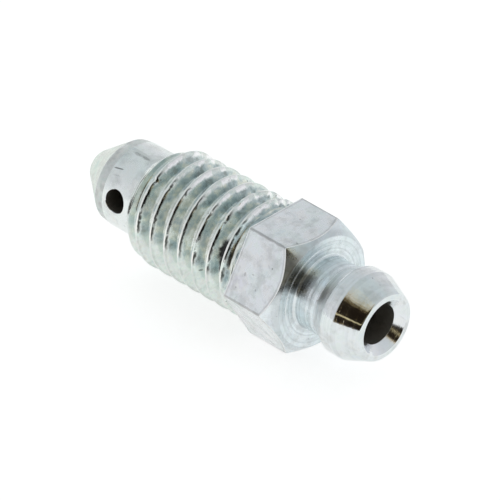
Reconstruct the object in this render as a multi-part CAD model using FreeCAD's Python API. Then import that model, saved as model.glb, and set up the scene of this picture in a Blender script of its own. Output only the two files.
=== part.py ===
# Bleeder screw, turned in one piece from hexagon bar and zinc plated.
# Sizes are in millimetres. The screw's axis is X, and X = 0 is the hexagon's shoulder.
# The hose end points to +X and the thread and the sealing nose to -X.
# Z is up, and one flat of the hexagon faces straight up.
import math
import os

import FreeCAD
import Part
from FreeCAD import Vector

# Hexagon
HEX_ACROSS_FLATS = 8.0
HEX_LENGTH = 4.05
HEX_FACE_RATIO = 0.955          # diameter of the face on the hose side, as a share of the width across flats
HEX_FACE_CHAMFER_DEG = 47.0     # measured from the end face
HEX_SHOULDER_RATIO = 1.14       # the same for the shoulder, where only the six corners are broken
HEX_SHOULDER_CHAMFER_DEG = 30.0

# Hose end: neck, bead and mouth
NECK_DIA = 4.93
NECK_LENGTH = 1.79
NECK_ROOT_ROUND = 0.2
BEAD_DIA = 6.0
BEAD_REAR_CONE_LENGTH = 0.97
BEAD_BAND_LENGTH = 0.96
BEAD_FRONT_CONE_LENGTH = 1.76
BEAD_FRONT_TAPER_DEG = 22.0     # measured from the axis
BEAD_EDGE_ROUND = 0.2
RIM_ROUND = 0.18
RIM_WIDTH = 0.4                 # ring left between the bead's cone and the countersunk mouth

# Passage: a blind bore from the mouth, met by one cross hole behind the nose
BORE_DIA = 2.7
MOUTH_ANGLE_DEG = 90.0
DRILL_POINT_DEG = 118.0
CROSS_HOLE_DIA = 1.6
CROSS_HOLE_SHARE = 0.5256       # of the dog's length, from the thread
CROSS_HOLE_TURN_DEG = 78.5      # turned from straight up towards -Y
CROSS_HOLE_BREAK = 0.08         # broken edge at the hole's mouth

# Thread M8 x 1.25, right-hand
THREAD_DIA = 7.9
PITCH = 1.25
FLANK_DEG = 30.0
CREST_FLAT = PITCH / 8
ROOT_FLAT = PITCH / 4
THREAD_LENGTH = 8.45            # from the plain collar to the full thread at the dog's side
LEAD_DEG = 37.0                 # taper of the thread's lead, measured from the axis
CREST_TURN_DEG = 175.0          # turned from straight up towards -Y, where a crest reaches the plain collar
RUN_OUT_START_DEG = 150.0       # the thread grows shallower from here, on its last turn
RUN_OUT_DEG = 150.0             # and is down to the collar's depth after this much more
LAST_FLANK_DEG = 440.0          # the last crest keeps its own flank on the hexagon's side up to here
LIFT_OUT_DEG = 40.0             # and the groove has ended after this much more

# Plain collar between the thread and the hexagon's shoulder
COLLAR_LENGTH = 0.65
COLLAR_DEPTH = 0.37             # radial, below the thread's crest
COLLAR_ROUND = 0.08

# Dog and sealing nose
DOG_CLEARANCE = 0.34            # radial, between the thread's root and the dog
DOG_LENGTH = 2.27
DOG_CHAMFER = 0.1               # radial
DOG_CHAMFER_DEG = 82.3          # measured from the end face
DOG_EDGE_ROUND = 0.35
NOSE_BASE_ROUND = 0.3
NOSE_TAPER_DEG = 37.0           # measured from the axis
NOSE_TIP_DIA = 2.05
NOSE_TIP_ROUND = 0.45

# Sizes that follow from the ones above
thread_r = THREAD_DIA / 2
tan_flank = math.tan(math.radians(FLANK_DEG))
thread_depth = (PITCH - CREST_FLAT - ROOT_FLAT) / 2 / tan_flank
root_r = thread_r - thread_depth
collar_r = thread_r - COLLAR_DEPTH
dog_r = root_r - DOG_CLEARANCE
neck_r = NECK_DIA / 2
bead_r = BEAD_DIA / 2
bore_r = BORE_DIA / 2
cross_r = CROSS_HOLE_DIA / 2
rim_r = bead_r - BEAD_FRONT_CONE_LENGTH * math.tan(math.radians(BEAD_FRONT_TAPER_DEG))
mouth_r = max(rim_r - RIM_WIDTH, bore_r + 0.05)
hex_corner_r = HEX_ACROSS_FLATS / math.sqrt(3)

# Stations along the axis, from the hose end to the nose
bead_start = HEX_LENGTH + NECK_LENGTH
band_start = bead_start + BEAD_REAR_CONE_LENGTH
band_end = band_start + BEAD_BAND_LENGTH
front_end = band_end + BEAD_FRONT_CONE_LENGTH
thread_inner = -COLLAR_LENGTH
thread_outer = thread_inner - THREAD_LENGTH
lead_start = thread_outer - (thread_r - root_r) / math.tan(math.radians(LEAD_DEG))
dog_start = lead_start - DOG_CLEARANCE
dog_end = dog_start - DOG_LENGTH
nose_base_r = dog_r - DOG_CHAMFER
nose_start = dog_end - DOG_CHAMFER * math.tan(math.radians(DOG_CHAMFER_DEG))
nose_end = nose_start - (nose_base_r - NOSE_TIP_DIA / 2) / math.tan(math.radians(NOSE_TAPER_DEG))
cross_hole_x = dog_start - DOG_LENGTH * CROSS_HOLE_SHARE


def rounded_wire(corners):
    """A closed wire in the XZ plane through (x, radius, corner round), with each round kept to what fits."""
    points = [Vector(x, 0, r) for x, r, _ in corners]
    count = len(points)
    cuts = []
    for i, (_, _, size) in enumerate(corners):
        here, before, after = points[i], points[i - 1], points[(i + 1) % count]
        to_before, to_after = before - here, after - here
        turn = math.pi - to_before.getAngle(to_after)
        if size <= 0 or turn < 1e-6:
            cuts.append((here, here, here))
            continue
        reach = size * math.tan(turn / 2)
        reach = min(reach, 0.45 * to_before.Length, 0.45 * to_after.Length)
        size = reach / math.tan(turn / 2)
        start = here + to_before.normalize() * reach
        end = here + to_after.normalize() * reach
        inward = (start + end) * 0.5 - here
        depth = size / math.cos(turn / 2) - size
        cuts.append((start, here + inward.normalize() * depth, end))
    edges = []
    for i, (start, middle, end) in enumerate(cuts):
        if (end - start).Length > 1e-7:
            edges.append(Part.Arc(start, middle, end).toShape())
        following = cuts[(i + 1) % count][0]
        if (following - end).Length > 1e-7:
            edges.append(Part.makeLine(end, following))
    return Part.Wire(edges)


def turned(corners):
    """The solid of revolution round the X axis of a closed outline of (x, radius, corner round)."""
    return Part.Face(rounded_wire(corners)).revolve(Vector(0, 0, 0), Vector(1, 0, 0), 360)


def turned_blank():
    """Everything that is round: nose, dog, thread blank, collar, neck and bead."""
    wall = COLLAR_DEPTH * tan_flank
    return turned([
        (nose_end, 0, 0),
        (nose_end, NOSE_TIP_DIA / 2, NOSE_TIP_ROUND),
        (nose_start, nose_base_r, NOSE_BASE_ROUND),
        (dog_end, dog_r, DOG_EDGE_ROUND),
        (dog_start, dog_r, 0.1),
        (lead_start, root_r, 0.1),
        (thread_outer, thread_r, 0),
        (thread_inner - wall, thread_r, 0),
        (thread_inner, collar_r, COLLAR_ROUND),
        (HEX_LENGTH / 2, collar_r, 0),
        (HEX_LENGTH / 2, neck_r, 0),
        (HEX_LENGTH, neck_r, 0),
        (bead_start, neck_r, 0.3),
        (band_start, bead_r, BEAD_EDGE_ROUND),
        (band_end, bead_r, BEAD_EDGE_ROUND),
        (front_end, rim_r, RIM_ROUND),
        (front_end, 0, 0),
    ])


def hexagon():
    """The hexagon prism, with its face and its shoulder chamfered by cones."""
    corners = []
    for i in range(6):
        angle = math.radians(30 + 60 * i)
        corners.append(Vector(0, -hex_corner_r * math.sin(angle), hex_corner_r * math.cos(angle)))
    prism = Part.Face(Part.makePolygon(corners + corners[:1])).extrude(Vector(HEX_LENGTH, 0, 0))
    face_r = HEX_ACROSS_FLATS * HEX_FACE_RATIO / 2
    shoulder_r = HEX_ACROSS_FLATS * HEX_SHOULDER_RATIO / 2
    outer_r = hex_corner_r + 0.5
    face_depth = (outer_r - face_r) * math.tan(math.radians(HEX_FACE_CHAMFER_DEG))
    shoulder_depth = (outer_r - shoulder_r) * math.tan(math.radians(HEX_SHOULDER_CHAMFER_DEG))
    envelope = turned([
        (0, 0, 0),
        (0, shoulder_r, 0),
        (shoulder_depth, outer_r, 0),
        (HEX_LENGTH - face_depth, outer_r, 0),
        (HEX_LENGTH, face_r, 0),
        (HEX_LENGTH, 0, 0),
    ])
    return prism.common(envelope)


def neck_fillet():
    """The small round where the neck leaves the hexagon's face, as a ring to add."""
    size = NECK_ROOT_ROUND
    inner = neck_r - 0.2
    start = Vector(HEX_LENGTH, 0, neck_r + size)
    end = Vector(HEX_LENGTH + size, 0, neck_r)
    dip = size * (1 - math.sqrt(0.5))
    middle = Vector(HEX_LENGTH + dip, 0, neck_r + dip)
    back = Vector(HEX_LENGTH - 0.2, 0, neck_r + size)
    edges = [
        Part.Arc(start, middle, end).toShape(),
        Part.makeLine(end, Vector(HEX_LENGTH + size, 0, inner)),
        Part.makeLine(Vector(HEX_LENGTH + size, 0, inner), Vector(HEX_LENGTH - 0.2, 0, inner)),
        Part.makeLine(Vector(HEX_LENGTH - 0.2, 0, inner), back),
        Part.makeLine(back, start),
    ]
    return Part.Face(Part.Wire(edges)).revolve(Vector(0, 0, 0), Vector(1, 0, 0), 360)


def on_helix(turn_deg, x, radius):
    """A point at this turn from straight up towards -Y, this place along the axis and this radius."""
    angle = math.radians(turn_deg)
    return Vector(x, -radius * math.sin(angle), radius * math.cos(angle))


def eased(share):
    """A smooth step from 0 to 1 as the share goes from 0 to 1."""
    return (1 - math.cos(math.pi * min(max(share, 0.0), 1.0))) / 2


def groove_section(turn_deg):
    """The groove's top, floor, floor and top corners at this turn. The flanks stay as the floor lifts."""
    x = thread_inner - PITCH / 2 + PITCH * (turn_deg - CREST_TURN_DEG) / 360
    shallow_r = collar_r - 0.03
    floor_r = root_r + (shallow_r - root_r) * eased((turn_deg - RUN_OUT_START_DEG) / RUN_OUT_DEG)
    floor_r += (thread_r + 0.1 - shallow_r) * eased((turn_deg - LAST_FLANK_DEG) / LIFT_OUT_DEG)
    top_r = thread_r + 0.25
    half_floor = ROOT_FLAT / 2 + (floor_r - root_r) * tan_flank
    half_top = half_floor + (top_r - floor_r) * tan_flank
    return [
        on_helix(turn_deg, x - half_top, top_r),
        on_helix(turn_deg, x - half_floor, floor_r),
        on_helix(turn_deg, x + half_floor, floor_r),
        on_helix(turn_deg, x + half_top, top_r),
    ]


def thread_groove():
    """The space between the crests, cut along a right-hand helix from before the lead to the run-out."""
    last_deg = LAST_FLANK_DEG + LIFT_OUT_DEG
    last_x = thread_inner - PITCH / 2 + PITCH * (last_deg - CREST_TURN_DEG) / 360
    half_turns = 2 * math.ceil((last_x - dog_start) / PITCH + 0.4)
    steps = 12 * half_turns
    sections = [groove_section(last_deg - 15 * (steps - i)) for i in range(steps + 1)]
    numbers = [float(i) for i in range(steps + 1)]
    curves = []
    for k in range(4):
        curve = Part.BSplineCurve()
        curve.interpolate(Points=[section[k] for section in sections], Parameters=numbers)
        curves.append(curve)
    faces = []
    for half in range(half_turns):
        edges = [curve.toShape(12.0 * half, 12.0 * half + 12) for curve in curves]
        for k in range(4):
            faces.append(Part.makeRuledSurface(edges[k], edges[(k + 1) % 4]))
    for section in (sections[0], sections[-1]):
        faces.append(Part.Face(Part.makePolygon(section + section[:1])))
    shell = Part.makeShell(faces)
    shell.sewShape()
    solid = Part.makeSolid(shell)
    if solid.Volume < 0:
        solid.reverse()
    return solid


def passage():
    """The blind bore with its countersunk mouth and drill point, and the cross hole into it."""
    bore_end = cross_hole_x - cross_r
    point = bore_r / math.tan(math.radians(DRILL_POINT_DEG / 2))
    sink = (mouth_r - bore_r) / math.tan(math.radians(MOUTH_ANGLE_DEG / 2))
    past = 0.5
    slope = math.tan(math.radians(MOUTH_ANGLE_DEG / 2))
    bore = turned([
        (bore_end - point, 0, 0),
        (bore_end, bore_r, 0),
        (front_end - sink, bore_r, 0),
        (front_end + past, mouth_r + past * slope, 0),
        (front_end + past, 0, 0),
    ])
    outward = on_helix(CROSS_HOLE_TURN_DEG, 0, 1)
    hole = Part.makeCylinder(cross_r, dog_r + 1, Vector(cross_hole_x, 0, 0), outward)
    return bore, hole


def break_hole_edge(body):
    """The same body with the cross hole's outer edge rounded over."""
    rim = []
    for face in body.Faces:
        if isinstance(face.Surface, Part.Cylinder) and abs(face.Surface.Radius - cross_r) < 1e-6:
            for edge in face.Edges:
                if edge.Length < 0.01:
                    continue
                off_dog = [abs(math.hypot(p.y, p.z) - dog_r) for p in edge.discretize(9)]
                if max(off_dog) < 0.001:
                    rim.append(edge)
    return body.makeFillet(CROSS_HOLE_BREAK, rim)


def bleeder_screw():
    """The whole screw as one solid."""
    body = turned_blank().cut(thread_groove())
    body = body.fuse([hexagon(), neck_fillet()]).removeSplitter()
    bore, hole = passage()
    body = body.cut(bore).cut(hole)
    return break_hole_edge(body)


def main():
    screw = bleeder_screw()
    solid = screw.Solids[0] if len(screw.Solids) == 1 else screw
    os.makedirs("parts", exist_ok=True)
    solid.exportStep("parts/bleeder_screw.step")
    print("solids", len(screw.Solids), "valid", screw.isValid(), "volume", round(screw.Volume, 2))
    box = screw.BoundBox
    print("x", round(box.XMin, 3), round(box.XMax, 3), "faces", len(screw.Faces))


main()
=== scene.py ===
# Bleeder screw: the finished look of a turned, thread-rolled and zinc plated hollow screw.
# The screw's skin is laid out flat as rows and columns, then rolled round its axis and threaded.
# Sizes are in millimetres, and MM turns them into metres. Turns round the screw count from straight up
# towards -Y.
import math

import bmesh
import bpy
import numpy as np
from mathutils import Matrix, Vector


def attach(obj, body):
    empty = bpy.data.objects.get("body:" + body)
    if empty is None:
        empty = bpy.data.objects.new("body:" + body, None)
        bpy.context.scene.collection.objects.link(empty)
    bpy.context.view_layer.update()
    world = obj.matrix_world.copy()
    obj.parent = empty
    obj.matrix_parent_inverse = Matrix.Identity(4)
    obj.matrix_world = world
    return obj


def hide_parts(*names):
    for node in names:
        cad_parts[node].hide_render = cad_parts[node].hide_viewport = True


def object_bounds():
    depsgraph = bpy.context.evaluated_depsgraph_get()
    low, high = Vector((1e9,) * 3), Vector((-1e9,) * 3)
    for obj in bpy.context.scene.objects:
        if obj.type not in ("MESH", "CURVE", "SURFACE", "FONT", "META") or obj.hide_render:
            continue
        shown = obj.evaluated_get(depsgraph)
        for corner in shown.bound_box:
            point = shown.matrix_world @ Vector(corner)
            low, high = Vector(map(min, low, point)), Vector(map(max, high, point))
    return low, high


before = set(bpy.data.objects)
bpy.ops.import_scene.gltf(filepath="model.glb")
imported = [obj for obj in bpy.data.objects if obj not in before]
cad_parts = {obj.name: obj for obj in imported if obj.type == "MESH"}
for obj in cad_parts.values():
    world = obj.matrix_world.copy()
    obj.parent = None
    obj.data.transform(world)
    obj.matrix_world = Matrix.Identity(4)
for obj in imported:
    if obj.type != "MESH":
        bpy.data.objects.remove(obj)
cad_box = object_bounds()

MM = 0.001
NODE = "bleeder_screw"

# Hexagon
HEX_ACROSS_FLATS = 8.0
HEX_LENGTH = 4.05
HEX_FACE_R = 3.82
HEX_FACE_SLOPE = math.tan(math.radians(47))
HEX_CORNER_ROUND = 0.12
HEX_CORNERS = range(-150, 181, 60)      # their turns in degrees
FACE_RING_R = 3.2               # a shallow ring that the tool left on the hexagon's face
FACE_RING_HALF_WIDTH = 0.07
FACE_RING_DEPTH = 0.035

# Hose end
NECK_R = 2.465
BEAD_R = 3.0
BEAD_START = 5.84
BAND_START = 6.81
BAND_END = 7.77
FRONT_END = 9.53
RIM_R = BEAD_R - (FRONT_END - BAND_END) * math.tan(math.radians(22))
MOUTH_R = RIM_R - 0.4
BORE_R = 1.35
DRILL_POINT_SLOPE = math.tan(math.radians(59))
WIDEST_ROUNDING = 0.45          # the share of a side that the rounding of one corner may take

# Thread
THREAD_R = 3.95
ROOT_R = 3.2734
PITCH = 1.25
CREST_FLAT = PITCH / 8
CREST_ROUND = 0.05
ROOT_ROUND = 0.1
FLANK_SLOPE = math.tan(math.radians(30))
LEAD_START = -9.998
THREAD_OUTER = -9.1
COLLAR_R = 3.58
COLLAR_LENGTH = 0.65
LAST_CREST_X = -1.256           # the last crest's place straight up on the screw
LIFT_FROM_DEG = 150.0           # along the last groove, where its floor begins to rise
LIFT_TO_DEG = 300.0
LAST_FLANK_DEG = 440.0
LAST_FLANK_FADE = 0.5           # radians over which the floor then leaves the blank
CLEAR_OF_BLANK = 8.0            # so far out that nothing more is cut
SHOULDER_GAP = 0.0001           # the thread leaves out the hexagon's shoulder itself

# Dog and nose
DOG_R = 2.9334
DOG_START = -10.338
DOG_END = -12.608
NOSE_START = -13.348
NOSE_BASE_R = 2.8334
NOSE_TIP_R = 1.025
NOSE_END = -15.748

# Cross hole and its drill
CROSS_HOLE_X = -11.531
CROSS_HOLE_R = 0.8
CROSS_HOLE_BREAK = 0.03
CROSS_HOLE_TURN = math.radians(78.5)
DRILL_SIDES = 96
DRILL_INNER_END = 0.6           # inside the bore
DRILL_OUTER_END = 1.0           # above the dog

# Rows over one pitch, as distances from one root to the next, and columns in degrees of turn
TOOTH_ROWS = [0.0, 0.095, 0.156, 0.205, 0.265, 0.365, 0.465, 0.525, 0.547, 0.58,
              0.625, 0.67, 0.703, 0.725, 0.785, 0.885, 0.985, 1.045, 1.094, 1.155]
COLUMN_STEP = 1.5
CORNER_COLUMNS = [-0.75, -0.5, -0.25, 0.0, 0.25, 0.5, 0.75]
SEAM_GAP = 0.2                  # no other column lies closer to the seam
NOSE_SEGMENTS = 5               # in each rounded corner
HEAD_SEGMENTS = 4
MERGE_DISTANCE = 0.0004
SHARP_ANGLE = math.radians(38)

# Knocks in the crests: along X, turn in degrees, radius, depth
DENTS = [
    (-2.38, -36, 0.36, 0.16),
    (-2.42, -12, 0.28, 0.12),
    (-1.22, -34, 0.30, 0.12),
    (-1.20, -22, 0.22, 0.10),
    (-2.35, 14, 0.30, 0.10),
    (-2.30, 32, 0.26, 0.10),
    (-8.62, 33, 0.22, 0.10),
]
DENT_SIDE = 0.7 * THREAD_R      # a dent marks only what stands out this far on its own side

# Finish numbers, in the order of the materials, and where the finishes begin and end
DOG, THREADED, FLATS, RINGED, BEAD, MOUTH, BORED, TAPER, NOSE, SHOULDER = range(10)
NOSE_FINISH_END = NOSE_START - 0.05
TAPER_FINISH = (NOSE_START - 0.02, DOG_END - 0.01)
FLAT_STRIPS = range(4, 6)
MOUTH_STRIPS = 9                # strips from the rim's inner edge to the bore's end
BORE_STRIPS = 4
BEAD_LEAD = 0.12                # the finishes of the bead begin this far before its corners

# Single marks: along X, turn in degrees, half length, half width, slant, radius there, share of dark
MARK_SIZES = ("Along mm", "Turn", "Half Length mm", "Half Width mm", "Slant", "Radius mm")
DOG_MARKS = [
    (-12.18, 38, 0.42, 0.06, -0.22, DOG_R, 0.75),
    (-12.05, 47, 0.35, 0.05, -0.2, DOG_R, 0.2),
    (-11.9, 9, 0.3, 0.16, 0.1, DOG_R, 0.3),
    (-11.5, 8, 0.3, 0.14, 0.1, DOG_R, 0.22),
    (-11.15, 8, 0.4, 0.14, 0.1, DOG_R, 0.4),
    (-11.7, 6, 1.2, 0.3, 0.05, DOG_R, 0.2),
]
FLAT_MARKS = [
    (1.0, 66, 0.10, 0.16, 0.0, 4.2, 0.35),
    (1.6, 63, 0.12, 0.06, 0.0, 4.2, 0.3),
    (2.2, 74, 0.08, 0.10, 0.0, 4.2, 0.35),
    (3.3, 20, 0.14, 0.08, 0.0, 4.2, 0.5),
    (2.6, -6, 0.12, 0.06, 0.0, 4.1, 0.3),
    (0.7, 80, 0.08, 0.08, 0.0, 4.3, 0.35),
]
# Painted dark reflection on the neck and on the hexagon's face, laid on as soft marks
NECK_REFLECTION_MARKS = [
    (4.45, 44, 0.45, 0.9, 0.0, 2.5, 0.6),
    (4.2, 58, 0.25, 0.6, 0.0, 2.7, 0.5),
    (4.04, 52, 0.12, 1.2, 0.0, 3.2, 0.35),
    (4.95, 40, 0.25, 0.5, 0.0, 2.5, 0.3),
]
# Mostly painted shade: in the last groove and in the corner by the hexagon's shoulder, with two small marks
THREAD_SHADE_AND_MARKS = [
    (-1.72, 60, 0.30, 1.05, 0.0, 3.4, 1.0),
    (-1.62, 74, 0.20, 0.85, 0.0, 3.4, 0.95),
    (-0.76, 62, 0.12, 0.75, 0.0, 3.6, 0.8),
    (-0.41, 38, 0.05, 0.5, 0.0, 3.6, 0.85),
    (-0.41, 56, 0.05, 0.35, 0.0, 3.6, 0.8),
    (-0.41, 72, 0.05, 0.4, 0.0, 3.6, 0.85),
    (-3.55, 62, 0.10, 0.12, 0.0, 3.5, 0.7),
    (-3.1, 93, 0.10, 0.10, 0.0, 3.5, 0.6),
]

# The looks of the zinc: rings per mm, their depth, roughness and its spread, plain colour, size of tinted
# patches and their strength, size of smears, and the shares of each mark and of shade in the rings
ZINC = {
    "rings": 9.0, "depth": 0.004, "rough": 0.12, "spread": 0.03, "plain": (0.86, 0.88, 0.90),
    "patch": 1.6, "tint": 0.5, "smear_mm": 1.2, "specks": 0.3, "smears": 0.1, "scratches": 0.1,
    "ring_shade": 0.0, "marks": (),
}
ZINC_TINTS = [(0.3, (0.74, 0.83, 0.86)), (0.43, (0.88, 0.93, 0.88)), (0.5, (0.92, 0.94, 0.95)),
              (0.58, (0.93, 0.92, 0.88)), (0.7, (0.90, 0.88, 0.93))]
# The soil's mottled colours, which also carry its painted light and painted shade
DIRT_AND_SHADE_TINTS = [(0.32, (0.17, 0.21, 0.21)), (0.42, (0.35, 0.44, 0.46)), (0.5, (0.50, 0.57, 0.56)),
              (0.57, (0.68, 0.69, 0.60)), (0.66, (0.90, 0.94, 0.90))]
SMEAR_GREY = (0.45, 0.47, 0.46, 1)
RING_GREY = (0.34, 0.38, 0.40, 1)
SPECK_BLACK = (0.10, 0.10, 0.10, 1)
# Painted shade: a dark line in the fold beside each crest
CREASE_SHADE_BLACK = (0.03, 0.03, 0.025, 1)
# Painted highlight: white streaks on the flanks beside the crests
HIGHLIGHT_WHITE = (1.0, 1.0, 1.0, 1)
# Painted highlight on the thread's crests: dull away from the side where the painted light falls, bright on
# it
CREST_DULL = (0.76, 0.75, 0.74, 1)
CREST_BRIGHT = (0.98, 0.96, 0.92, 1)
# Painted shade and painted highlight on the hexagon's edges
EDGE_SHADE_BROWN = (0.22, 0.20, 0.19, 1)
EDGE_HIGHLIGHT = (0.98, 0.97, 0.94, 1)

# Floor
FLOOR_HALF_SIZE = 1500.0
FLOOR_GAP = 0.02                # keeps the floor from sharing a plane with the hexagon
FLOOR_GREY = (0.55, 0.56, 0.56, 1)
FLOOR_GLOW = 0.74
MIRRORED_GLOW = 0.9             # the share of the glow that the metal mirrors

# Tent: heights are the upward part of a direction, and a soft edge is how far the edge fades
WHITE = (1, 1, 1, 1)
TENT_TINTS = [(0.0, (0.80, 0.82, 0.84)), (0.25, (0.77, 0.78, 0.81)), (0.6, (0.66, 0.68, 0.70)),
              (0.8, (0.62, 0.67, 0.70)), (0.97, (0.60, 0.64, 0.65))]
OPENING_TINTS = [(0.55, (0.80, 0.66, 0.38)), (0.86, (0.26, 0.17, 0.07)), (1.0, (0.016, 0.011, 0.007))]
OPENING_AZIMUTH = math.radians(-41)
OPENING_SIDE = math.cos(math.radians(52))
OPENING_SIDE_SOFT = 0.1
OPENING_TOP = 0.81
OPENING_TOP_SOFT = 0.2
OPENING_EDGE = (0.15, 0.6)
OPENING_CORNER = (0.4, 0.75)    # towards +X the opening's side slants
OPENING_SLANT = 0.24
RAGGED_NOISE = (20.0, 4.0)
RAGGED = 0.24
TORN_NOISE = (55.0, 3.0)
TORN = 0.6
STRIP_HEIGHT = 0.31             # a cream strip across the opening
STRIP_EDGE = (0.016, 0.032, 0.9, 0.0)
STRIP_CREAM = (0.80, 0.68, 0.40, 1)
LAMP_AZIMUTH = math.radians(161)
LAMP_SIDE = math.cos(math.radians(16))
LAMP_SIDE_SOFT = 0.02
LAMP_HEIGHT = 0.34
LAMP_EDGE = (0.08, 0.12)
LAMP_WHITE = (1.5, 1.5, 1.5, 1)
LEAST_FLAT = 0.001              # straight up, where a direction has no azimuth

# Camera, as the photograph was taken
CAMERA_AZIMUTH = math.radians(45.2)
CAMERA_ELEVATION = math.radians(34.76)
CAMERA_DISTANCE = 423.7
CAMERA_TARGET = (-0.486, -1.772, 1.784)
CAMERA_LENS = 490.9
CAMERA_SENSOR = 36
CAMERA_NEAR = 10.0


# Outlines

def rounded(corners, segments):
    """Rows of (x, r) through (x, r, round) corners, each a number or one value for every column."""
    points = [np.stack(np.broadcast_arrays(x, r), -1).astype(float) for x, r, _ in corners]
    rows = [points[0]]
    for i in range(1, len(corners) - 1):
        size = corners[i][2]
        here, before, after = points[i], points[i - 1], points[i + 1]
        if size <= 0:
            rows.append(here)
            continue
        to_before, to_after = before - here, after - here
        length_before = np.linalg.norm(to_before, axis=-1, keepdims=True)
        length_after = np.linalg.norm(to_after, axis=-1, keepdims=True)
        to_before, to_after = to_before / length_before, to_after / length_after
        inner = np.arccos(np.clip((to_before * to_after).sum(-1, keepdims=True), -1, 1))
        half_turn = (math.pi - inner) / 2
        most = WIDEST_ROUNDING * np.minimum(length_before, length_after)
        reach = np.minimum(size * np.tan(half_turn), most)
        start, end = here + to_before * reach, here + to_after * reach
        radius = reach / np.tan(half_turn)
        middle = (start + end) / 2 - here
        axis = middle / np.linalg.norm(middle, axis=-1, keepdims=True)
        centre = here + axis * radius / np.cos(half_turn)
        for k in range(segments + 1):
            share = k / segments
            spoke = start * (1 - share) + end * share - centre
            rows.append(centre + spoke / np.linalg.norm(spoke, axis=-1, keepdims=True) * radius)
    rows.append(points[-1])
    return rows


def hexagon_radius(turn):
    """The radius of the hexagon, with its six long edges rounded, at each turn in degrees."""
    flat = HEX_ACROSS_FLATS / 2
    half_side = math.radians(30)
    from_corner = np.radians((turn - 30) % 60)
    from_corner = np.minimum(from_corner, math.radians(60) - from_corner)
    plain = flat / np.cos(half_side - from_corner)
    centre = (flat - HEX_CORNER_ROUND) / math.cos(half_side)
    inside = np.maximum(HEX_CORNER_ROUND ** 2 - (centre * np.sin(from_corner)) ** 2, 0)
    arc = centre * np.cos(from_corner) + np.sqrt(inside)
    reach = math.atan2(HEX_CORNER_ROUND * 0.5, centre + HEX_CORNER_ROUND * math.cos(half_side))
    return np.where(from_corner < reach, arc, plain)


def blank_radius(x):
    """The radius of the screw before its thread is rolled, between the dog and the hexagon."""
    wall_end = -COLLAR_LENGTH
    wall_start = wall_end - (THREAD_R - COLLAR_R) * FLANK_SLOPE
    stations = [DOG_START, LEAD_START, THREAD_OUTER, wall_start, wall_end, 0.0]
    return np.interp(x, stations, [DOG_R, ROOT_R, THREAD_R, THREAD_R, COLLAR_R, COLLAR_R])


# The flat skin

def column_turns():
    """The turns of all columns in degrees, from the seam once round to the seam again.

    The seam is where the groove after the last crest reaches the hexagon.
    """
    last = (-PITCH / 2 - LAST_CREST_X) / PITCH * 360
    first = last - 360
    turns = set(np.arange(math.ceil(first / COLUMN_STEP), last / COLUMN_STEP) * COLUMN_STEP)
    for corner in HEX_CORNERS:
        turns.update(corner + offset for offset in CORNER_COLUMNS)
    turns = sorted(t for t in turns if first + SEAM_GAP < t < last - SEAM_GAP)
    return np.array([first] + turns + [last])


def thread_rows(turns):
    """Rows that follow the helix, with a wedge of rows at each end that closes on a plain ring."""
    climb = PITCH * (turns - turns[0]) / 360
    pitches = math.ceil((-PITCH - LEAD_START) / PITCH)
    first = -(pitches + 1) * PITCH
    rows = [first + offset / PITCH * climb for offset in TOOTH_ROWS]
    for k in range(pitches):
        rows += [first + k * PITCH + offset + climb for offset in TOOTH_ROWS]
    last = -PITCH + climb
    rows += [last + offset / PITCH * (0.0 - last) for offset in TOOTH_ROWS + [PITCH]]
    return [np.stack([x, blank_radius(x)], -1) for x in rows], first


def nose_finish(row):
    """The finish of the strip after a row of the nose or the dog."""
    along = float(np.max(row[..., 0]))
    if TAPER_FINISH[0] < along < TAPER_FINISH[1]:
        return TAPER
    return NOSE if along < NOSE_FINISH_END else DOG


def head_finish(row, number, rows):
    """The finish of the strip after a row of the head, from the hexagon's shoulder to the bore's end."""
    along = float(np.max(row[..., 0]))
    if number >= rows - BORE_STRIPS:
        return BORED
    if number >= rows - MOUTH_STRIPS:
        return MOUTH
    if number in FLAT_STRIPS:
        return FLATS
    if along < BEAD_START - BEAD_LEAD:
        return RINGED
    return SHOULDER if along < BAND_START - BEAD_LEAD else BEAD


def skin_rows(turns):
    """Every row of the skin from the nose's tip to the bore's end, with the finish of the strip after it.

    A corner is its place along X, its radius and its rounding.
    """
    threads, ring_x = thread_rows(turns)
    nose = rounded([
        (NOSE_END, 0, 0), (NOSE_END, NOSE_TIP_R, 0.45), (NOSE_START, NOSE_BASE_R, 0.3),
        (DOG_END, DOG_R, 0.3), (DOG_START, DOG_R, 0.1), (ring_x, blank_radius(ring_x), 0),
    ], NOSE_SEGMENTS)[:-1]
    hexagon = hexagon_radius(turns)
    chamfer = HEX_LENGTH - (hexagon - HEX_FACE_R) * HEX_FACE_SLOPE
    sink_end = FRONT_END - (MOUTH_R - BORE_R)
    bore_end = CROSS_HOLE_X - CROSS_HOLE_R
    head = rounded([
        (0, COLLAR_R, 0), (0, hexagon, 0.05), (chamfer, hexagon, 0.05), (HEX_LENGTH, HEX_FACE_R, 0.06),
        (HEX_LENGTH, FACE_RING_R + FACE_RING_HALF_WIDTH, 0.02),
        (HEX_LENGTH - FACE_RING_DEPTH, FACE_RING_R, 0.02),
        (HEX_LENGTH, FACE_RING_R - FACE_RING_HALF_WIDTH, 0.02),
        (HEX_LENGTH, NECK_R, 0.2), (BEAD_START, NECK_R, 0.3), (BAND_START, BEAD_R, 0.2),
        (BAND_END, BEAD_R, 0.2), (FRONT_END, RIM_R, 0.18), (FRONT_END, MOUTH_R, 0.05),
        (sink_end, BORE_R, 0.06), (bore_end, BORE_R, 0), (bore_end - BORE_R / DRILL_POINT_SLOPE, 0, 0),
    ], HEAD_SEGMENTS)[1:]
    return ([(row, nose_finish(row)) for row in nose]
            + [(row, THREADED) for row in threads[:-1]] + [(threads[-1], RINGED)]
            + [(row, head_finish(row, i, len(head))) for i, row in enumerate(head)])


def placed(name, data):
    """A new object in the scene, at the origin."""
    obj = bpy.data.objects.new(name, data)
    bpy.context.scene.collection.objects.link(obj)
    return obj


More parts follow.
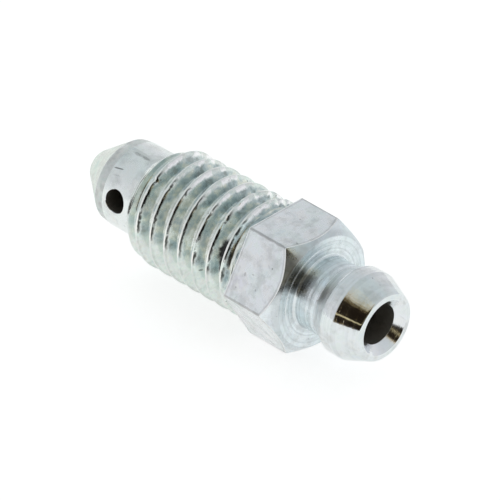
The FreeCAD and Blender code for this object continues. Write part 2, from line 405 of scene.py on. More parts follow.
def flat_skin():
    """The skin as a flat mesh: x along the screw, y the turn in radians and z the radius."""
    turns = column_turns()
    bands = skin_rows(turns)
    columns = len(turns)
    grid = np.empty((len(bands), columns, 3))
    for i, (row, _) in enumerate(bands):
        row = np.broadcast_to(row, (columns, 2))
        grid[i, :, 0] = row[:, 0] * MM
        grid[i, :, 1] = np.radians(turns)
        grid[i, :, 2] = row[:, 1] * MM
    index = np.arange(len(bands) * columns).reshape(len(bands), columns)
    quads = np.stack([index[:-1, :-1], index[:-1, 1:], index[1:, 1:], index[1:, :-1]], -1).reshape(-1, 4)
    mesh = bpy.data.meshes.new("screw_skin")
    mesh.from_pydata(grid.reshape(-1, 3).tolist(), [], quads.tolist())
    finish = mesh.attributes.new("finish", "INT", "FACE")
    per_face = np.repeat([f for _, f in bands[:-1]], columns - 1)
    finish.data.foreach_set("value", per_face.astype(np.int32))
    return placed("screw_skin", mesh)


# Node trees

SOCKET_KINDS = {"Geometry": "NodeSocketGeometry", "Plain": "NodeSocketColor", "Color": "NodeSocketColor",
                "Dirt And Shade": "NodeSocketColor"}


def node_group(name, inputs, outputs, kind="ShaderNodeTree"):
    """An empty node group with its named sockets, numbers unless SOCKET_KINDS says otherwise."""
    tree = bpy.data.node_groups.new(name, kind)
    for side, sockets in (("INPUT", inputs), ("OUTPUT", outputs)):
        for socket in sockets:
            socket_kind = SOCKET_KINDS.get(socket, "NodeSocketFloat")
            tree.interface.new_socket(socket, in_out=side, socket_type=socket_kind)
    return tree


def emptied(owner):
    """The node tree of a material or world, with nothing in it yet."""
    owner.use_nodes = True
    owner.node_tree.nodes.clear()
    return owner.node_tree


class Nodes:
    """Short ways to add and link nodes in one tree."""

    def __init__(self, tree):
        self.tree = tree

    def add(self, kind, links=(), **settings):
        """A new node, set up first and then linked."""
        node = self.tree.nodes.new(kind)
        for name, value in settings.items():
            setattr(node, name, value)
        for socket, source in dict(links).items():
            target = node.inputs[socket]
            if isinstance(source, bpy.types.NodeSocket):
                self.tree.links.new(source, target)
            else:
                target.default_value = source
        return node

    def group(self, tree, links=()):
        """The outputs of a node group."""
        return self.add("ShaderNodeGroup", links, node_tree=tree).outputs

    def math(self, operation, *values):
        return self.add("ShaderNodeMath", dict(enumerate(values)), operation=operation).outputs[0]

    def chain(self, operation, values):
        """One operation after another, from left to right."""
        result = values[0]
        for value in values[1:]:
            result = self.math(operation, result, value)
        return result

    def plus(self, *values):
        return self.chain("ADD", values)

    def minus(self, *values):
        return self.chain("SUBTRACT", values)

    def times(self, *values):
        return self.chain("MULTIPLY", values)

    def over(self, *values):
        return self.chain("DIVIDE", values)

    def length(self, a, b):
        """The length of a line with these two parts."""
        return self.math("SQRT", self.plus(self.times(a, a), self.times(b, b)))

    def lean(self, a, b, towards):
        """How far a line with these two parts reaches towards a direction."""
        return self.plus(self.times(a, towards[0]), self.times(b, towards[1]))

    def ramp(self, value, low, high, out_low=0.0, out_high=1.0):
        """A soft step from one value to another between two places."""
        links = dict(enumerate((value, low, high, out_low, out_high)))
        return self.add("ShaderNodeMapRange", links, interpolation_type="SMOOTHSTEP").outputs[0]

    def fade(self, value, low, high):
        """A soft step down from 1 to 0."""
        return self.ramp(value, low, high, 1.0, 0.0)

    def band(self, value, rise, drop):
        """1 between a soft step up and a soft step down, and 0 on both sides."""
        return self.times(self.ramp(value, *rise), self.fade(value, *drop))

    def blend(self, share, below, above, how="MIX"):
        """One colour laid over another."""
        links = {0: share, 6: below, 7: above}
        return self.add("ShaderNodeMix", links, data_type="RGBA", blend_type=how).outputs[2]

    def tints(self, value, stops):
        """The colour that a value has between stops, each a place and a colour."""
        node = self.add("ShaderNodeValToRGB", {0: value})
        elements = node.color_ramp.elements
        for i, (position, colour) in enumerate(stops):
            stop = elements[i] if i < 2 else elements.new(position)
            stop.position = position
            stop.color = (*colour, 1)
        return node.outputs[0]

    def noise(self, where, scale, detail, roughness=0.5):
        """Cloudy noise around 0.5, with its scale in waves per metre."""
        links = {"Vector": where, "Scale": scale, "Detail": detail, "Roughness": roughness}
        return self.add("ShaderNodeTexNoise", links).outputs[0]

    def wobble(self, noise, amount):
        """Noise as a small value above and below 0."""
        return self.times(self.minus(noise, 0.5), amount)

    def place(self):
        """The place on the screw."""
        return self.add("ShaderNodeTexCoord").outputs["Object"]

    def parts(self, place):
        """The X, Y and Z of a place."""
        return self.add("ShaderNodeSeparateXYZ", {0: place}).outputs

    def turn(self, y, z):
        """The turn round the screw in radians."""
        return self.math("ARCTAN2", self.times(y, -1.0), z)


# Rolling, threading and drilling

THREAD_SIZES = {
    "Pitch": PITCH * MM,
    "Last Crest": LAST_CREST_X * MM,
    "Crest Radius": THREAD_R * MM,
    "Root Radius": ROOT_R * MM,
    "Collar Radius": COLLAR_R * MM,
    "Crest Flat": CREST_FLAT * MM,
    "Flank Slope": FLANK_SLOPE,
    "Lift From": math.radians(LIFT_FROM_DEG),
    "Lift To": math.radians(LIFT_TO_DEG),
    "Last Flank": math.radians(LAST_FLANK_DEG),
    "Root Round": ROOT_ROUND * MM,
    "Crest Round": CREST_ROUND * MM,
}


def roll_and_thread_tree(materials):
    """Cuts the helical groove into the flat skin, rolls the skin round the X axis and closes it."""
    tree = node_group("roll_and_thread", ["Geometry", *THREAD_SIZES], ["Geometry"], "GeometryNodeTree")
    n = Nodes(tree)
    entry = n.add("NodeGroupInput").outputs
    along, turn, blank = n.parts(n.add("GeometryNodeInputPosition").outputs[0])

    climb = n.over(n.times(turn, entry["Pitch"]), 2 * math.pi)
    past_crest = n.minus(along, entry["Last Crest"], climb)
    from_crest = n.math("PINGPONG", past_crest, n.times(entry["Pitch"], 0.5))
    beyond_flat = n.minus(from_crest, n.times(entry["Crest Flat"], 0.5))
    flank = n.minus(entry["Crest Radius"], n.over(beyond_flat, entry["Flank Slope"]))

    turns_on = n.plus(n.math("FLOOR", n.over(past_crest, entry["Pitch"])), 1.0)
    groove_turn = n.plus(n.times(turns_on, 2 * math.pi), turn)
    lift = n.ramp(groove_turn, entry["Lift From"], entry["Lift To"])
    rise = n.times(n.minus(entry["Collar Radius"], entry["Root Radius"]), lift)
    last_flank = entry["Last Flank"]
    gone = n.ramp(groove_turn, last_flank, n.plus(last_flank, LAST_FLANK_FADE), 0.0, CLEAR_OF_BLANK * MM)
    floor_radius = n.plus(entry["Root Radius"], rise, gone)
    groove = n.math("SMOOTH_MAX", flank, floor_radius, entry["Root Round"])
    cut = n.math("SMOOTH_MIN", blank, groove, entry["Crest Round"])
    is_thread = n.math("LESS_THAN", along, -SHOULDER_GAP * MM)
    radius = n.add("ShaderNodeMix", {0: is_thread, 2: blank, 3: cut}).outputs[0]

    y = n.times(radius, n.math("SINE", turn), -1.0)
    z = n.times(radius, n.math("COSINE", turn))
    rolled = n.add("ShaderNodeCombineXYZ", {0: along, 1: y, 2: z}).outputs[0]
    shape = n.add("GeometryNodeSetPosition", {"Geometry": entry["Geometry"], "Position": rolled}).outputs[0]
    merge = {"Geometry": shape, "Distance": MERGE_DISTANCE * MM}
    shape = n.add("GeometryNodeMergeByDistance", merge).outputs[0]
    shape = n.add("GeometryNodeRealizeInstances", {"Geometry": shape}).outputs[0]
    finish = n.add("GeometryNodeInputNamedAttribute", {"Name": "finish"}, data_type="INT").outputs[0]
    for number, material in enumerate(materials):
        same = n.add("FunctionNodeCompare", {2: finish, 3: number}, data_type="INT", operation="EQUAL")
        links = {"Geometry": shape, "Selection": same.outputs[0], "Material": material}
        shape = n.add("GeometryNodeSetMaterial", links).outputs[0]
    n.add("NodeGroupOutput", {"Geometry": shape})
    return tree


def cross_drill():
    """The drill for the cross hole, flared where it breaks the hole's edge on the dog."""
    flare = CROSS_HOLE_R + 2 * CROSS_HOLE_BREAK
    profile = [(CROSS_HOLE_R, None), (CROSS_HOLE_R, -CROSS_HOLE_BREAK), (flare, CROSS_HOLE_BREAK),
               (flare, DRILL_OUTER_END)]
    mesh = bmesh.new()
    rings = []
    for radius, over in profile:
        ring = []
        for i in range(DRILL_SIDES):
            angle = 2 * math.pi * i / DRILL_SIDES
            side = radius * math.sin(angle)
            height = DRILL_INNER_END if over is None else math.sqrt(DOG_R ** 2 - side ** 2) + over
            ring.append(mesh.verts.new(Vector((radius * math.cos(angle), side, height)) * MM))
        rings.append(ring)
    for lower, upper in zip(rings[:-1], rings[1:]):
        for i in range(DRILL_SIDES):
            j = (i + 1) % DRILL_SIDES
            mesh.faces.new((lower[i], lower[j], upper[j], upper[i]))
    mesh.faces.new(list(reversed(rings[0])))
    mesh.faces.new(rings[-1])
    bmesh.ops.recalc_face_normals(mesh, faces=mesh.faces)
    place = Matrix.Translation((CROSS_HOLE_X * MM, 0, 0)) @ Matrix.Rotation(CROSS_HOLE_TURN, 4, "X")
    bmesh.ops.transform(mesh, matrix=place, verts=mesh.verts)
    wall_end = (DOG_R - 2 * CROSS_HOLE_BREAK) * MM
    for face in mesh.faces:
        middle = face.calc_center_median()
        face.material_index = 0 if math.hypot(middle.y, middle.z) < wall_end else 1
    data = bpy.data.meshes.new("cross_drill")
    mesh.to_mesh(data)
    mesh.free()
    return placed("cross_drill", data)


def plain_mesh(obj, name):
    """The evaluated object as a new mesh object with no modifiers, in place of the old one."""
    depsgraph = bpy.context.evaluated_depsgraph_get()
    mesh = bpy.data.meshes.new_from_object(obj.evaluated_get(depsgraph))
    mesh.name = name
    result = placed(name, mesh)
    bpy.data.objects.remove(obj)
    return result


def outward(obj):
    """Points the faces of a closed mesh outwards."""
    mesh = bmesh.new()
    mesh.from_mesh(obj.data)
    bmesh.ops.recalc_face_normals(mesh, faces=mesh.faces)
    if mesh.calc_volume(signed=True) < 0:
        bmesh.ops.reverse_faces(mesh, faces=mesh.faces)
    mesh.to_mesh(obj.data)
    mesh.free()


def dent(mesh, along, turn, size, depth):
    """Knocks a small hollow into the screw's outside."""
    places = np.empty(len(mesh.vertices) * 3, dtype=np.float32)
    mesh.vertices.foreach_get("co", places)
    places = places.reshape(-1, 3)
    outwards = np.array([0.0, -math.sin(math.radians(turn)), math.cos(math.radians(turn))])
    beyond = places @ outwards
    near_x = (places[:, 0] - along * MM) / (size * MM)
    sideways = places - np.outer(beyond, outwards) - places[:, :1] * [1, 0, 0]
    aside = np.linalg.norm(sideways, axis=1) / (size * MM)
    share = np.clip(1 - near_x ** 2 - aside ** 2, 0, 1) * (beyond > DENT_SIDE * MM)
    places -= (share[:, None] * depth * MM) * outwards
    mesh.vertices.foreach_set("co", places.astype(np.float32).ravel())
    mesh.update()


def screw(materials):
    """The whole screw: rolled, threaded, drilled, dented and smoothed."""
    skin = flat_skin()
    tree = roll_and_thread_tree(materials)
    modifier = skin.modifiers.new("roll_and_thread", "NODES")
    modifier.node_group = tree
    for item in tree.interface.items_tree:
        if item.in_out == "INPUT" and item.name in THREAD_SIZES:
            modifier[item.identifier] = THREAD_SIZES[item.name]
    rolled = plain_mesh(skin, "rolled_screw")
    outward(rolled)
    drill = cross_drill()
    drill.data.materials.append(materials[BORED])
    drill.data.materials.append(materials[MOUTH])
    cut = rolled.modifiers.new("cross_hole", "BOOLEAN")
    cut.object = drill
    cut.operation = "DIFFERENCE"
    cut.solver = "EXACT"
    cut.material_mode = "TRANSFER"
    body = plain_mesh(rolled, "screw_body")
    bpy.data.objects.remove(drill)
    for mark in DENTS:
        dent(body.data, *mark)
    body.data.shade_smooth()
    body.data.set_sharp_from_angle(angle=SHARP_ANGLE)
    return body


# Finishes
# A noise is its waves per metre, its detail and sometimes its roughness. A step is the places where it
# starts and ends, and sometimes the values there.

RING_NOISE = (300.0, 1.0)
RING_WANDER = 0.02
RING_DETAIL = 3.0
CONE_SHARE = 0.93               # how much the radius counts in the rings, so that faces have them too
MOTTLE_NOISE = (900.0, 4.0)


def turning_lines_group():
    """Fine rings left by the lathe: a height that changes along the axis and with the radius."""
    tree = node_group("turning_lines", ["Rings per mm"], ["Height", "Mottle"])
    n = Nodes(tree)
    entry = n.add("NodeGroupInput").outputs
    place = n.place()
    x, y, z = n.parts(place)
    shift = n.times(n.noise(place, *RING_NOISE), RING_WANDER * MM)
    ring = n.plus(x, n.times(n.length(y, z), CONE_SHARE), shift)
    scaled = n.times(ring, n.times(entry["Rings per mm"], 1.0 / MM))
    links = {"W": scaled, "Scale": 1.0, "Detail": RING_DETAIL}
    fine = n.add("ShaderNodeTexNoise", links, noise_dimensions="1D").outputs[0]
    n.add("NodeGroupOutput", {"Height": fine, "Mottle": n.noise(place, *MOTTLE_NOISE)})
    return tree


def zinc_tint_group():
    """Zinc's pale colour with faint green, blue and cream patches."""
    tree = node_group("zinc_tint", ["Patch mm", "Plain", "Strength"], ["Color"])
    n = Nodes(tree)
    entry = n.add("NodeGroupInput").outputs
    patches = n.noise(n.place(), n.over(1.0 / MM, entry["Patch mm"]), detail=4.0, roughness=0.65)
    tinted = n.blend(entry["Strength"], entry["Plain"], n.tints(patches, ZINC_TINTS), "MULTIPLY")
    n.add("NodeGroupOutput", {"Color": tinted})
    return tree


SPECK_WAVES = 1700.0
SPECK_NOISE = (1800.0, 2.0)
SPECK_WANDER = 0.25
SPECK_EDGE = (0.05, 0.15)
SPECK_CHANCE = (0.72, 0.9)
SMEAR_EDGE = (0.44, 0.68)
SCRATCH_WAVES = 520.0
SCRATCH_EDGE = (0.012, 0.03)
SCRATCH_NOISE = (900.0, 2.0)
SCRATCH_CHANCE = (0.6, 0.68)


def handling_marks_group():
    """Marks of tumbling and handling: specks, smears and short scratches, each from 0 to 1."""
    tree = node_group("handling_marks", ["Smear mm"], ["Specks", "Smears", "Scratches"])
    n = Nodes(tree)
    entry = n.add("NodeGroupInput").outputs
    place = n.place()
    scale, detail = SPECK_NOISE
    links = {"Vector": place, "Scale": scale, "Detail": detail}
    wander = n.add("ShaderNodeTexNoise", links).outputs["Color"]
    wander = n.add("ShaderNodeVectorMath", {0: wander, 3: SPECK_WANDER * MM}, operation="SCALE").outputs[0]
    moved = n.add("ShaderNodeVectorMath", {0: place, 1: wander}, operation="ADD").outputs[0]

    cells = n.add("ShaderNodeTexVoronoi", {"Vector": moved, "Scale": SPECK_WAVES}).outputs
    chance = n.add("ShaderNodeSeparateColor", {0: cells["Color"]}).outputs[0]
    specks = n.times(n.fade(cells["Distance"], *SPECK_EDGE), n.ramp(chance, *SPECK_CHANCE))

    smears = n.noise(moved, n.over(1.0 / MM, entry["Smear mm"]), detail=5.0, roughness=0.6)
    smears = n.ramp(smears, *SMEAR_EDGE)

    links = {"Vector": place, "Scale": SCRATCH_WAVES}
    edges = n.add("ShaderNodeTexVoronoi", links, feature="DISTANCE_TO_EDGE")
    thin = n.fade(edges.outputs["Distance"], *SCRATCH_EDGE)
    scratches = n.times(thin, n.ramp(n.noise(place, *SCRATCH_NOISE), *SCRATCH_CHANCE))
    n.add("NodeGroupOutput", {"Specks": specks, "Smears": smears, "Scratches": scratches})
    return tree


# Painted highlights and painted shade across one pitch: where each starts and ends, as shares of a pitch
# past the crest
CREST_EDGE = (0.03, 0.05)
FOLD_BAND = ((0.035, 0.055), (0.09, 0.15))
STREAK_BAND = ((0.02, 0.07), (0.13, 0.22))
ROOT_BAND = ((0.1, 0.2), (0.7, 0.93))
PAINTED_LIGHT_BAND = (0.16, 0.4)
LEAD_ROOT_SHADE_END = -7.4            # towards the dog from here the roots get less painted shade
LEAD_ROOT_SHADE = 0.5

# Painted light and painted shade round the screw, strongest on one side: the middle, the reach and the share
# of the reach at full strength
FOLD_SIDE = (math.radians(54), math.radians(38), 0.6)
ROOT_SIDE = (math.radians(14), math.radians(84), 0.78)
STREAK_SIDE = (math.radians(-22), math.radians(58), 0.6)
# a band of painted shade in the roots at one turn round the screw
PAINTED_SHADE_BAND_WANDER = 0.4
PAINTED_SHADE_BAND_TURN = math.radians(84) + PAINTED_SHADE_BAND_WANDER / 2
PAINTED_SHADE_BAND = (0.06, 0.26, 0.09, 0.0)

# Painted light and painted shade, with the dirt's mottle, by their noises and by the side of the screw
WANDER_NOISE = (2600.0, 4.0)
WANDER = 0.16
BLOTCH_NOISE = (1500.0, 5.0, 0.65)
CREST_BLOTCHES = (0.38, 0.54, 0.15, 1.0)
CREST_BY_SIDE = (0.0, 0.5, 0.6, 1.0)
FOLD_BLOTCHES = (0.35, 0.52)
FOLD_BY_SIDE = (0.0, 1.0, 0.15, 0.95)
ROOT_BY_SIDE = (0.0, 1.0, 0.15, 1.0)
SOIL_STRETCH = (2.6, 2.8)       # along and round the screw
SOIL_NOISE = (1.3, 4.0, 0.6)
# painted light in the soil on the side where the painted light falls, and painted shade near the top
PAINTED_LIGHT_RISE = 0.1
HIGHLIGHT_SIDE_SHADE = 0.045
STROKE_STRETCH = (1.7, 2.6)
STROKE_NOISE = (1.3, 3.0)
STROKE_LAYER = 7.0              # sets the strokes apart from the soil
STROKE_EDGE = (0.47, 0.53)
COUNT_FROM = 40.0               # keeps the count of pitches above 0


def thread_light_and_wear_group():
    """The painted light and painted shade of the thread, each from 0 to 1: a painted highlight on the crest,
    painted shade in the fold beside it and down in the root, painted highlight streaks, the side where the
    painted light falls, and the dirt's own mottled colour with its painted shade."""
    tree = node_group("thread_light_and_wear", [], ["Crest", "Crease Shade", "Root", "Painted Highlight", "Painted Light Side", "Dirt And Shade"])
    n = Nodes(tree)
    place = n.place()
    x, y, z = n.parts(place)
    turn = n.turn(y, z)
    pitches = n.over(n.minus(x, LAST_CREST_X * MM), PITCH * MM)
    past = n.math("FRACT", n.plus(n.minus(pitches, n.over(turn, 2 * math.pi)), COUNT_FROM))
    wander = n.noise(place, *WANDER_NOISE)
    past_rough = n.plus(past, n.wobble(wander, WANDER))
    blotch = n.noise(place, *BLOTCH_NOISE)
    radius = n.length(y, z)
    sides = []
    # the sides of the screw where the painted light and painted shade are strongest
    for middle, reach, full in (FOLD_SIDE, ROOT_SIDE, STREAK_SIDE):
        side = n.over(n.lean(y, z, (-math.sin(middle), math.cos(middle))), radius)
        sides.append(n.ramp(side, math.cos(reach), math.cos(reach * full)))
    painted_light_side, root_side, highlight_side = sides

    # painted highlight along each crest, in blotches, strongest on the side where the painted light falls
    crest = n.fade(n.math("PINGPONG", past, 0.5), *CREST_EDGE)
    crest = n.times(crest, n.ramp(blotch, *CREST_BLOTCHES), n.ramp(painted_light_side, *CREST_BY_SIDE))
    # painted shade in the fold beside each crest, mostly on the side where the painted light falls
    fold = n.times(n.band(past_rough, *FOLD_BAND), n.ramp(blotch, *FOLD_BLOTCHES))
    fold = n.times(fold, n.ramp(painted_light_side, *FOLD_BY_SIDE))
    # painted shade down in each root, strongest on one side of the screw and weaker towards the dog
    root = n.times(n.band(past_rough, *ROOT_BAND), n.ramp(root_side, *ROOT_BY_SIDE))
    root = n.times(root, n.ramp(x, LEAD_START * MM, LEAD_ROOT_SHADE_END * MM, LEAD_ROOT_SHADE, 1.0))

    along, round_it = SOIL_STRETCH
    spread = {0: n.times(pitches, along), 1: n.times(turn, round_it)}
    soil = n.noise(n.add("ShaderNodeCombineXYZ", spread).outputs[0], *SOIL_NOISE)
    # the soil is painted lighter past the fold on one side, darker in a band of painted shade at one turn,
    # and darker near the top
    pale = n.times(n.ramp(past_rough, *PAINTED_LIGHT_BAND, 0.0, PAINTED_LIGHT_RISE), painted_light_side)
    from_band = n.math("ABSOLUTE", n.minus(n.plus(turn, n.times(wander, PAINTED_SHADE_BAND_WANDER)), PAINTED_SHADE_BAND_TURN))
    shade = n.minus(n.plus(soil, pale), n.ramp(from_band, *PAINTED_SHADE_BAND))
    shade = n.minus(shade, n.times(highlight_side, HIGHLIGHT_SIDE_SHADE))

    # painted highlight streaks beside the crests, near the top of the screw
    along, round_it = STROKE_STRETCH
    spread = {0: n.times(pitches, along), 1: n.times(turn, round_it), 2: STROKE_LAYER}
    strokes = n.noise(n.add("ShaderNodeCombineXYZ", spread).outputs[0], *STROKE_NOISE)
    streak = n.times(n.band(past_rough, *STREAK_BAND), n.ramp(strokes, *STROKE_EDGE), highlight_side)
    n.add("NodeGroupOutput", {"Crest": crest, "Crease Shade": fold, "Root": root, "Painted Highlight": streak,
                              "Painted Light Side": painted_light_side, "Dirt And Shade": n.tints(shade, DIRT_AND_SHADE_TINTS)})
    return tree


EDGE_NOISE = (2500.0, 3.0)
EDGE_WANDER = 0.12
LONG_EDGE = (0.04, 0.12)        # the dark of the long edges fades out here
END_EDGE = (0.05, 0.1)          # and the bright of the ends here
BESIDE_BAND = ((0.08, 0.13), (0.15, 0.26))
BESIDE_SHARE = 0.5


def hexagon_edges_group():
    """The hexagon's edges, from 0 to 1: a painted highlight at both ends of its flats, painted shade along
    its long edges and in a thin line beside the bright ends."""
    tree = node_group("hexagon_edges", [], ["Bright", "Dark"])
    n = Nodes(tree)
    place = n.place()
    x, y, z = n.parts(place)
    unsteady = n.wobble(n.noise(place, *EDGE_NOISE), EDGE_WANDER)
    turn = n.plus(n.math("ARCTAN2", y, z), math.radians(360 + 30))
    from_corner = n.times(n.math("PINGPONG", turn, math.radians(30)), HEX_ACROSS_FLATS / 2)
    dark = n.fade(n.plus(from_corner, unsteady), *LONG_EDGE)

    drop = n.times(n.minus(n.length(y, z), HEX_FACE_R * MM), HEX_FACE_SLOPE)
    to_chamfer = n.math("ABSOLUTE", n.minus(n.minus(HEX_LENGTH * MM, drop), x))
    to_end = n.plus(n.times(n.math("MINIMUM", to_chamfer, x), 1.0 / MM), unsteady)
    dark = n.math("MAXIMUM", dark, n.times(n.band(to_end, *BESIDE_BAND), BESIDE_SHARE))
    n.add("NodeGroupOutput", {"Bright": n.fade(to_end, *END_EDGE), "Dark": dark})
    return tree


MARK_NOISE = (4000.0, 3.0)
MARK_WANDER = 1.2
MARK_EDGE = (0.2, 1.0)


def long_mark_group():
    """One scratch or smudge on a round surface, at its place along the axis and its turn."""
    tree = node_group("long_mark", MARK_SIZES, ["Mark"])
    n = Nodes(tree)
    entry = n.add("NodeGroupInput").outputs
    place = n.place()
    x, y, z = n.parts(place)
    along = n.minus(n.times(x, 1.0 / MM), entry["Along mm"])
    aside = n.times(n.minus(n.turn(y, z), entry["Turn"]), entry["Radius mm"])
    aside = n.minus(aside, n.times(along, entry["Slant"]))
    along = n.over(along, entry["Half Length mm"])
    aside = n.over(aside, entry["Half Width mm"])
    reach = n.plus(n.times(along, along), n.times(aside, aside))
    reach = n.plus(reach, n.wobble(n.noise(place, *MARK_NOISE), MARK_WANDER))
    n.add("NodeGroupOutput", {"Mark": n.fade(reach, *MARK_EDGE)})
    return tree


MARK_SHADE = 0.12
THREAD_MARK_SHADE = 0.04
ROOT_SHARE = 0.8
ROOT_ROUGHER = 0.12
CREST_SHARE = 0.85
CREST_BRIGHTENS = (0.0, 0.4)    # with the side where the painted light falls, where the crest's painted highlight stands out
EDGE_DARK_SHARE = 0.5
EDGE_BRIGHT_SHARE = 0.8


def single_marks(n, groups, base, marks, shade=MARK_SHADE):
    """Darkens the base colour at single scratches, smudges and pits, and at patches of painted shade and
    painted reflection.
    """
    for along, turn, length, width, slant, radius, share in marks:
        sizes = (along, math.radians(turn), length, width, slant, radius)
        mark = n.group(groups["mark"], dict(zip(MARK_SIZES, sizes)))[0]
        base = n.blend(n.times(mark, share), base, (shade, shade, shade, 1))
    return base


def thread_light_and_wear(n, groups, base, roughness):
    """Painted highlights on the crests and in streaks, painted shade in the fold beside each crest, and
    mottled grey roots with painted shade.
    """
    wear = n.group(groups["thread"])
    # painted shade in the roots, in the dirt's mottled colour
    base = n.blend(n.times(wear["Root"], ROOT_SHARE), base, wear["Dirt And Shade"])
    # the painted highlight streaks
    base = n.blend(wear["Painted Highlight"], base, HIGHLIGHT_WHITE)
    base = n.blend(wear["Crease Shade"], base, CREASE_SHADE_BLACK)
    base = single_marks(n, groups, base, THREAD_SHADE_AND_MARKS, THREAD_MARK_SHADE)
    # the crest's painted highlight, brighter on the side where the painted light falls
    crest_highlight_colour = n.blend(n.ramp(wear["Painted Light Side"], *CREST_BRIGHTENS), CREST_DULL, CREST_BRIGHT)
    base = n.blend(n.times(wear["Crest"], CREST_SHARE), base, crest_highlight_colour)
    return base, n.plus(roughness, n.times(wear["Root"], ROOT_ROUGHER))


def edge_light_and_shade(n, groups, base, roughness):
    """Painted highlights at both ends of the hexagon's flats, with thin lines of painted shade beside them
    and on the long edges.
    """
    wear = n.group(groups["edges"])
    base = n.blend(n.times(wear["Dark"], EDGE_DARK_SHARE), base, EDGE_SHADE_BROWN)
    base = n.blend(n.times(wear["Bright"], EDGE_BRIGHT_SHARE), base, EDGE_HIGHLIGHT)
    return base, roughness


RING_SHADE_EDGE = (0.42, 0.66)
MOTTLE_SPAN = (0.3, 0.7)
MOTTLE_HEIGHT = 0.6             # against the height of the rings
MARK_HEIGHT = 2.0


def zinc_material(name, groups, changes):
    """One zinc plated surface, with its own rings, roughness, tint and marks of handling, and on some
    surfaces painted highlights and painted shade.
    """
    look = {**ZINC, **changes}
    material = bpy.data.materials.new(name)
    n = Nodes(emptied(material))
    lines = n.group(groups["lines"], {"Rings per mm": look["rings"]})
    plain = (*look["plain"], 1)
    tint = n.group(groups["tint"], {"Patch mm": look["patch"], "Plain": plain, "Strength": look["tint"]})
    marks = n.group(groups["marks"], {"Smear mm": look["smear_mm"]})
    base = n.blend(n.times(marks["Smears"], look["smears"]), tint["Color"], SMEAR_GREY)
    rings = n.ramp(lines["Height"], *RING_SHADE_EDGE)
    base = n.blend(n.times(rings, look["ring_shade"]), base, RING_GREY)
    rough, spread = look["rough"], look["spread"]
    roughness = n.ramp(lines["Mottle"], *MOTTLE_SPAN, rough - spread, rough + spread)
    base = single_marks(n, groups, base, look["marks"])
    # the thread's and the hexagon's wear also paint highlights and shade
    if "wear" in look:
        base, roughness = look["wear"](n, groups, base, roughness)
    dirt = n.math("MAXIMUM", n.times(marks["Specks"], look["specks"]),
                  n.times(marks["Scratches"], look["scratches"]))
    base = n.blend(dirt, base, SPECK_BLACK)
    height = n.plus(lines["Height"], n.times(lines["Mottle"], MOTTLE_HEIGHT))
    height = n.minus(height, n.times(dirt, MARK_HEIGHT))
    relief = n.add("ShaderNodeBump", {"Height": height, "Strength": 1.0, "Distance": look["depth"] * MM})
    shader = n.add("ShaderNodeBsdfPrincipled", {"Base Color": base, "Roughness": roughness, "Metallic": 1.0,
                                                "Normal": relief.outputs[0]})
    n.add("ShaderNodeOutputMaterial", {"Surface": shader.outputs[0]})
    return material


def finishes():
    """The materials, in the order of the finish numbers."""
    groups = {
        "lines": turning_lines_group(), "tint": zinc_tint_group(), "marks": handling_marks_group(),
        "thread": thread_light_and_wear_group(), "edges": hexagon_edges_group(), "mark": long_mark_group(),
    }
    looks = {
        "zinc_dog": dict(rings=7.0, rough=0.24, spread=0.06, plain=(0.89, 0.92, 0.91), specks=0.4,
                         smears=0.4, marks=DOG_MARKS),
        "zinc_thread": dict(rings=5.0, depth=0.008, rough=0.15, spread=0.05, plain=(0.86, 0.91, 0.88),
                            patch=0.7, tint=0.8, specks=0.6, smears=0.2, scratches=0.06, smear_mm=0.5,
                            wear=thread_light_and_wear),
        "zinc_flats": dict(rings=1.5, rough=0.27, spread=0.06, plain=(0.90, 0.92, 0.94), patch=1.4, tint=0.7,
                           specks=0.6, smears=0.4, smear_mm=0.8, scratches=0.15, marks=FLAT_MARKS,
                           wear=edge_light_and_shade),
        "zinc_rings": dict(rings=4.5, depth=0.014, rough=0.26, spread=0.09, plain=(0.86, 0.92, 0.95),
                           smears=0.35, smear_mm=0.7, ring_shade=0.3, marks=NECK_REFLECTION_MARKS),
        "zinc_bead": dict(rings=4.0, depth=0.02, rough=0.09, spread=0.02, plain=(0.83, 0.86, 0.87),
                          specks=0.5, smears=0.35, smear_mm=0.8, scratches=0.03, ring_shade=0.12),
        "zinc_mouth": dict(depth=0.006, rough=0.13),
        # the bore's wall: a dull drilled finish, darkened further as painted shade deep in the bore
        "bore_wall": dict(rings=6.0, depth=0.01, rough=0.55, plain=(0.38, 0.36, 0.33), tint=0.2),
        "zinc_taper": dict(rings=5.0, depth=0.006, rough=0.34, spread=0.1, plain=(0.70, 0.72, 0.71),
                           patch=0.6, tint=0.8, smears=0.6, smear_mm=0.6),
        "zinc_nose": dict(rings=6.0, depth=0.006, rough=0.3, spread=0.06, plain=(0.78, 0.83, 0.77),
                          patch=0.8, tint=0.9, smears=0.35, smear_mm=0.8),
        "zinc_shoulder": dict(rings=4.0, depth=0.016, rough=0.44, spread=0.08, plain=(0.95, 0.97, 0.99),
                              tint=0.6, smears=0.3, smear_mm=0.6, ring_shade=0.15),
    }
    return [zinc_material(name, groups, look) for name, look in looks.items()]


# Floor, surroundings and camera

def floor():
    """A wide pale floor under the screw: white where it is seen, with the screw's soft shadow."""
    size = FLOOR_HALF_SIZE * MM
    low = cad_box[0][2] - FLOOR_GAP * MM
    mesh = bpy.data.meshes.new("floor")
    mesh.from_pydata([(-size, -size, low), (size, -size, low), (size, size, low), (-size, size, low)],
                     [], [(0, 1, 2, 3)])
    material = bpy.data.materials.new("pale_floor")
    n = Nodes(emptied(material))
    seen = n.add("ShaderNodeLightPath").outputs
    mirrored = n.times(n.math("MAXIMUM", seen["Is Glossy Ray"], seen["Is Transmission Ray"]), MIRRORED_GLOW)
    direct = n.math("MAXIMUM", mirrored, seen["Is Camera Ray"])
    glow = n.add("ShaderNodeEmission", {"Color": WHITE, "Strength": n.times(direct, FLOOR_GLOW)})
    pale = n.add("ShaderNodeBsdfDiffuse", {"Color": FLOOR_GREY})
    both = n.add("ShaderNodeAddShader", {0: glow.outputs[0], 1: pale.outputs[0]})
    n.add("ShaderNodeOutputMaterial", {"Surface": both.outputs[0]})
    mesh.materials.append(material)
    placed("floor", mesh)


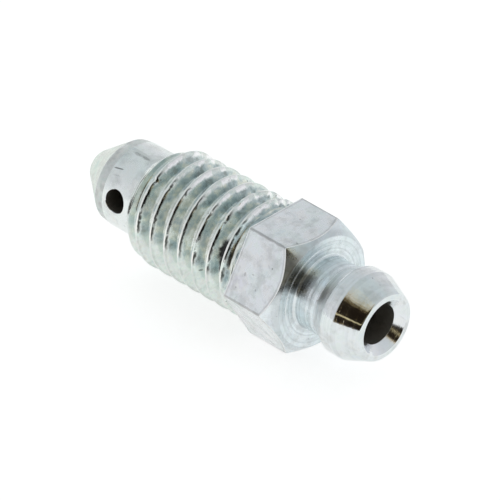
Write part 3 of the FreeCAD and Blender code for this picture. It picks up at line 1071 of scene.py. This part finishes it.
def surroundings():
    """A pale tent, open and dark on one side between the table and the lamp overhead."""
    world = bpy.data.worlds.new("tent")
    bpy.context.scene.world = world
    n = Nodes(emptied(world))
    direction = n.add("ShaderNodeTexCoord").outputs["Generated"]
    x, y, z = n.parts(direction)
    flat = n.math("MAXIMUM", n.length(x, y), LEAST_FLAT)
    to_opening, to_lamp = [n.over(n.lean(x, y, (math.cos(azimuth), math.sin(azimuth))), flat)
                           for azimuth in (OPENING_AZIMUTH, LAMP_AZIMUTH)]

    ragged = n.wobble(n.noise(direction, *RAGGED_NOISE), RAGGED)
    corner = n.times(n.ramp(x, *OPENING_CORNER), n.times(z, OPENING_SLANT))
    facing = n.minus(n.plus(to_opening, ragged), corner)
    across = n.ramp(facing, OPENING_SIDE, OPENING_SIDE + OPENING_SIDE_SOFT)
    torn = n.plus(ragged, n.wobble(n.noise(direction, *TORN_NOISE), TORN))
    dark = n.times(across, n.fade(n.plus(z, torn), OPENING_TOP, OPENING_TOP + OPENING_TOP_SOFT))
    strip = n.ramp(n.math("ABSOLUTE", n.minus(z, STRIP_HEIGHT)), *STRIP_EDGE)
    opening = n.blend(strip, n.tints(dark, OPENING_TINTS), STRIP_CREAM)
    tent = n.blend(n.ramp(dark, *OPENING_EDGE), n.tints(z, TENT_TINTS), opening)

    level = n.math("ABSOLUTE", n.minus(z, LAMP_HEIGHT))
    lamp = n.times(n.ramp(to_lamp, LAMP_SIDE, LAMP_SIDE + LAMP_SIDE_SOFT), n.fade(level, *LAMP_EDGE))
    tent = n.blend(lamp, tent, LAMP_WHITE)
    seen = n.add("ShaderNodeLightPath").outputs
    backdrop = n.math("MAXIMUM", seen["Is Camera Ray"], seen["Is Transmission Ray"])
    light = n.add("ShaderNodeBackground", {"Color": n.blend(backdrop, tent, WHITE), "Strength": 1.0})
    n.add("ShaderNodeOutputWorld", {"Surface": light.outputs[0]})


def camera():
    """The camera at the photograph's viewing angle."""
    azimuth, elevation = CAMERA_AZIMUTH, CAMERA_ELEVATION
    back = Vector((math.sin(azimuth) * math.cos(elevation), -math.cos(azimuth) * math.cos(elevation),
                   math.sin(elevation)))
    right = Vector((math.cos(azimuth), math.sin(azimuth), 0))
    up = back.cross(right)
    data = bpy.data.cameras.new("camera")
    data.sensor_width = CAMERA_SENSOR
    data.lens = CAMERA_LENS
    data.clip_start = CAMERA_NEAR * MM
    view = placed("camera", data)
    turn = Matrix((right, up, back)).transposed().to_4x4()
    view.matrix_world = Matrix.Translation((Vector(CAMERA_TARGET) + back * CAMERA_DISTANCE) * MM) @ turn
    bpy.context.scene.camera = view


body = screw(finishes())
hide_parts(NODE)
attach(body, "root")
floor()
surroundings()
camera()
bpy.context.scene.view_settings.view_transform = "Standard"
